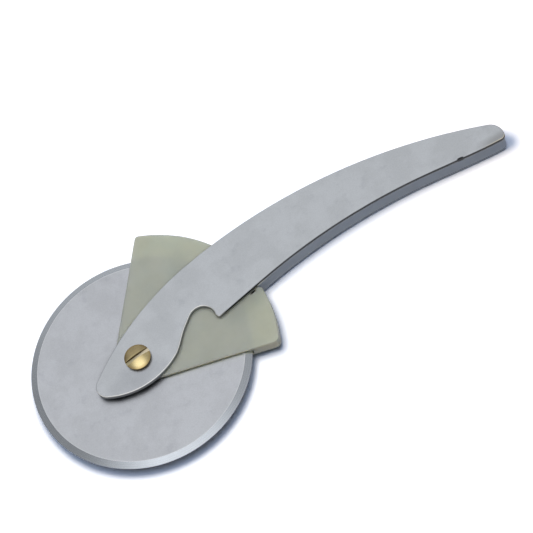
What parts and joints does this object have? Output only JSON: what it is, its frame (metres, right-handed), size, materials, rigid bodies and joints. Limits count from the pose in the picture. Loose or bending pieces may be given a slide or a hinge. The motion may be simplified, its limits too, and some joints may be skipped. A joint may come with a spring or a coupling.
{
  "type": "pizza cutter",
  "caption": "Pizza cutter with a bevelled steel wheel in a nylon finger guard, a curved steel handle plate on a grey rounded grip, and a brass pivot screw.",
  "frame": {"origin": "middle of the pivot nut's flat rear face, on the wheel's axis", "axes": "+X from the wheel's pivot along the handle, +Z along the wheel's axis from the nut towards the screw head, +Y towards the convex edge of the handle"},
  "size_m": [0.239, 0.1047, 0.0142],
  "materials": {
    "plate_steel": "satin, fine random grain",
    "wheel_steel": "satin face, bright ground bevel",
    "grip_grey": "moulded, fine matte texture",
    "guard_nylon": "natural nylon, slightly translucent",
    "pivot_brass": "turned, dulled with use",
    "pin_steel": "ground flush",
    "bush_bronze": "sintered bronze, oiled",
    "washer_plastic": "white slip plastic"
  },
  "bodies": {
    "handle": {"front_plate": "plate_steel", "rear_plate": "plate_steel", "grip": "grip_grey", "handle_pins": "pin_steel", "guard": "guard_nylon", "front_washer": "washer_plastic", "rear_washer": "washer_plastic", "pivot_nut": "pivot_brass", "pivot_screw": "pivot_brass"},
    "wheel": {"wheel": "wheel_steel", "wheel_bush": "bush_bronze"}
  },
  "joints": [
    {"name": "wheel_spin", "type": "hinge", "parent": "handle", "child": "wheel", "pos_m": [0, 0, 0.0067], "axis": [0, 0, 1], "continuous": true}
  ]
}
